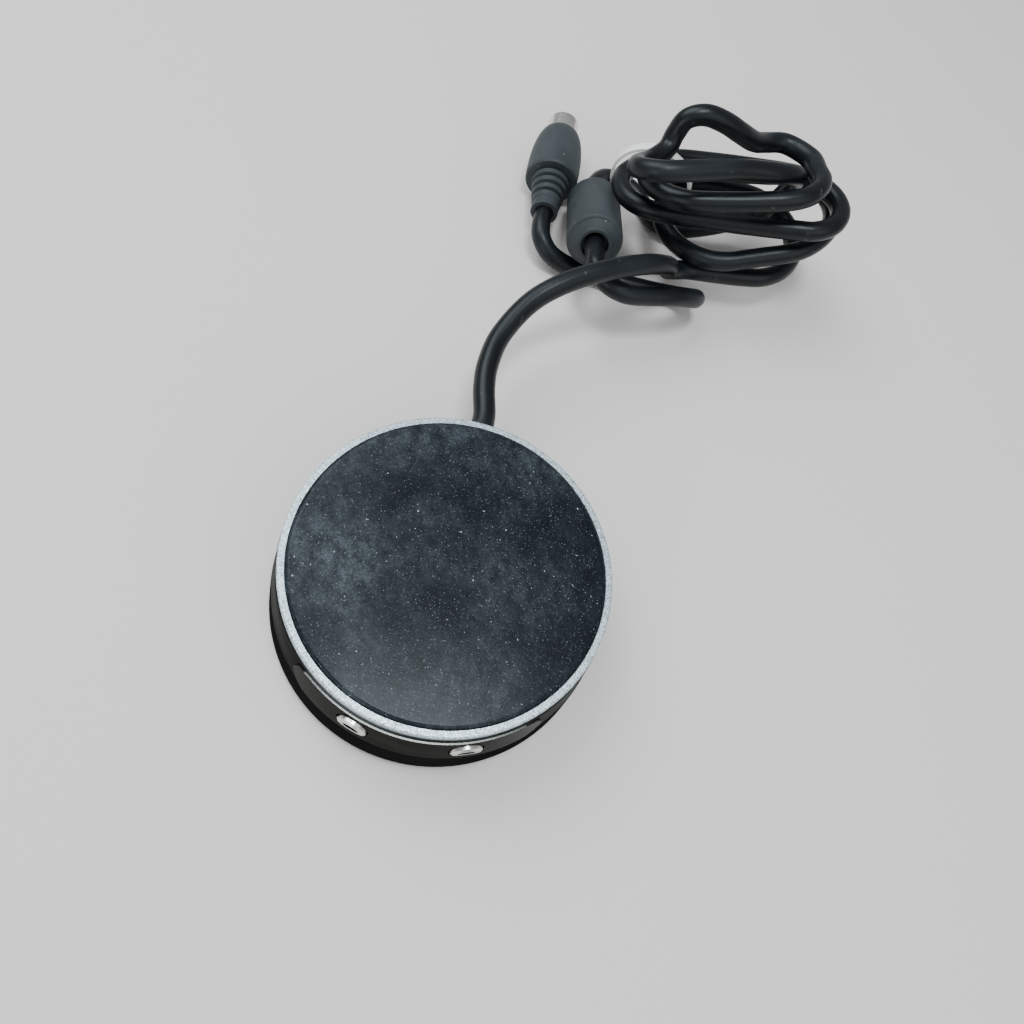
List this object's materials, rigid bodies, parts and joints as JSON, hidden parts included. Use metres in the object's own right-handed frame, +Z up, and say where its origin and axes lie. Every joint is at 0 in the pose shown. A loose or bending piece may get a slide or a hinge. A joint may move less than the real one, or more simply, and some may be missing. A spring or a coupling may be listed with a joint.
{
  "type": "volume control pod",
  "caption": "Round desktop volume pod with a touch pad, a turning volume ring, two 3.5 mm sockets and a tied cord with a ferrite choke and a round plug.",
  "frame": {"origin": "centre of the foot ring's underside, on the desk", "axes": "+Z up out of the touch pad, -Y towards the user (the two sockets), +Y the way the cord leaves, +X to the user's right"},
  "size_m": [0.1272, 0.1975, 0.0472],
  "materials": {
    "foot_rubber": "matte",
    "base_plastic": "fine texture",
    "ballast_steel": "zinc plated",
    "glide_plastic": "natural, slippery",
    "ring_plastic": "satin gloss",
    "body_plastic": "satin gloss",
    "screw_steel": "zinc plated",
    "socket_plastic": "moulded",
    "gear_plastic": "natural",
    "board_green": "solder resist",
    "socket_nickel": "nickel plated",
    "panel_plastic": "gloss",
    "wire_red": "insulation",
    "cord_rubber": "satin",
    "contact_brass": "plated",
    "rim_silver": "silver sparkle paint",
    "pad_rubber": "dusty, scuffed",
    "ferrite_grey": "sintered",
    "plug_plastic": "moulded",
    "tie_white": "matte",
    "shell_nickel": "nickel plated"
  },
  "bodies": {
    "pod": {"foot_ring": "foot_rubber", "base_plate": "base_plastic", "ballast_plate": "ballast_steel", "lower_glide": "glide_plastic", "upper_glide": "glide_plastic", "body_shell": "body_plastic", "case_screws": "screw_steel", "encoder_body": "socket_plastic", "main_board": "board_green", "board_screws": "screw_steel", "board_chips": "socket_plastic", "headphone_block": "socket_plastic", "headphone_barrel": "socket_nickel", "input_block": "socket_plastic", "input_barrel": "socket_nickel", "jack_panel": "panel_plastic", "cord_header": "gear_plastic", "cord_wires": "wire_red", "cord_saddle": "base_plastic", "saddle_screws": "screw_steel", "cord_bush": "cord_rubber", "touch_pin": "contact_brass", "rim_plate": "rim_silver", "touch_film": "contact_brass", "touch_pad": "pad_rubber", "cord_lead": "cord_rubber", "cord_hank": "cord_rubber", "cord_tail": "cord_rubber", "ferrite_core": "ferrite_grey", "ferrite_case": "plug_plastic", "cord_tie": "tie_white", "plug_boot": "plug_plastic", "plug_body": "plug_plastic", "plug_shell": "shell_nickel", "plug_insert": "socket_plastic", "plug_pins": "contact_brass"},
    "volume_ring": {"volume_ring": "ring_plastic"},
    "encoder": {"encoder_pinion": "gear_plastic"}
  },
  "joints": [
    {"name": "volume_turn", "type": "hinge", "parent": "pod", "child": "volume_ring", "pos_m": [0, 0, 0.006], "axis": [0, 0, 1], "continuous": true},
    {"name": "encoder_turn", "type": "hinge", "parent": "pod", "child": "encoder", "pos_m": [0.024, 0, 0.006], "axis": [0, 0, 1], "continuous": true}
  ],
  "couplings": [
    {"joint": "encoder_turn", "follows": "volume_turn", "ratio": 5}
  ]
}
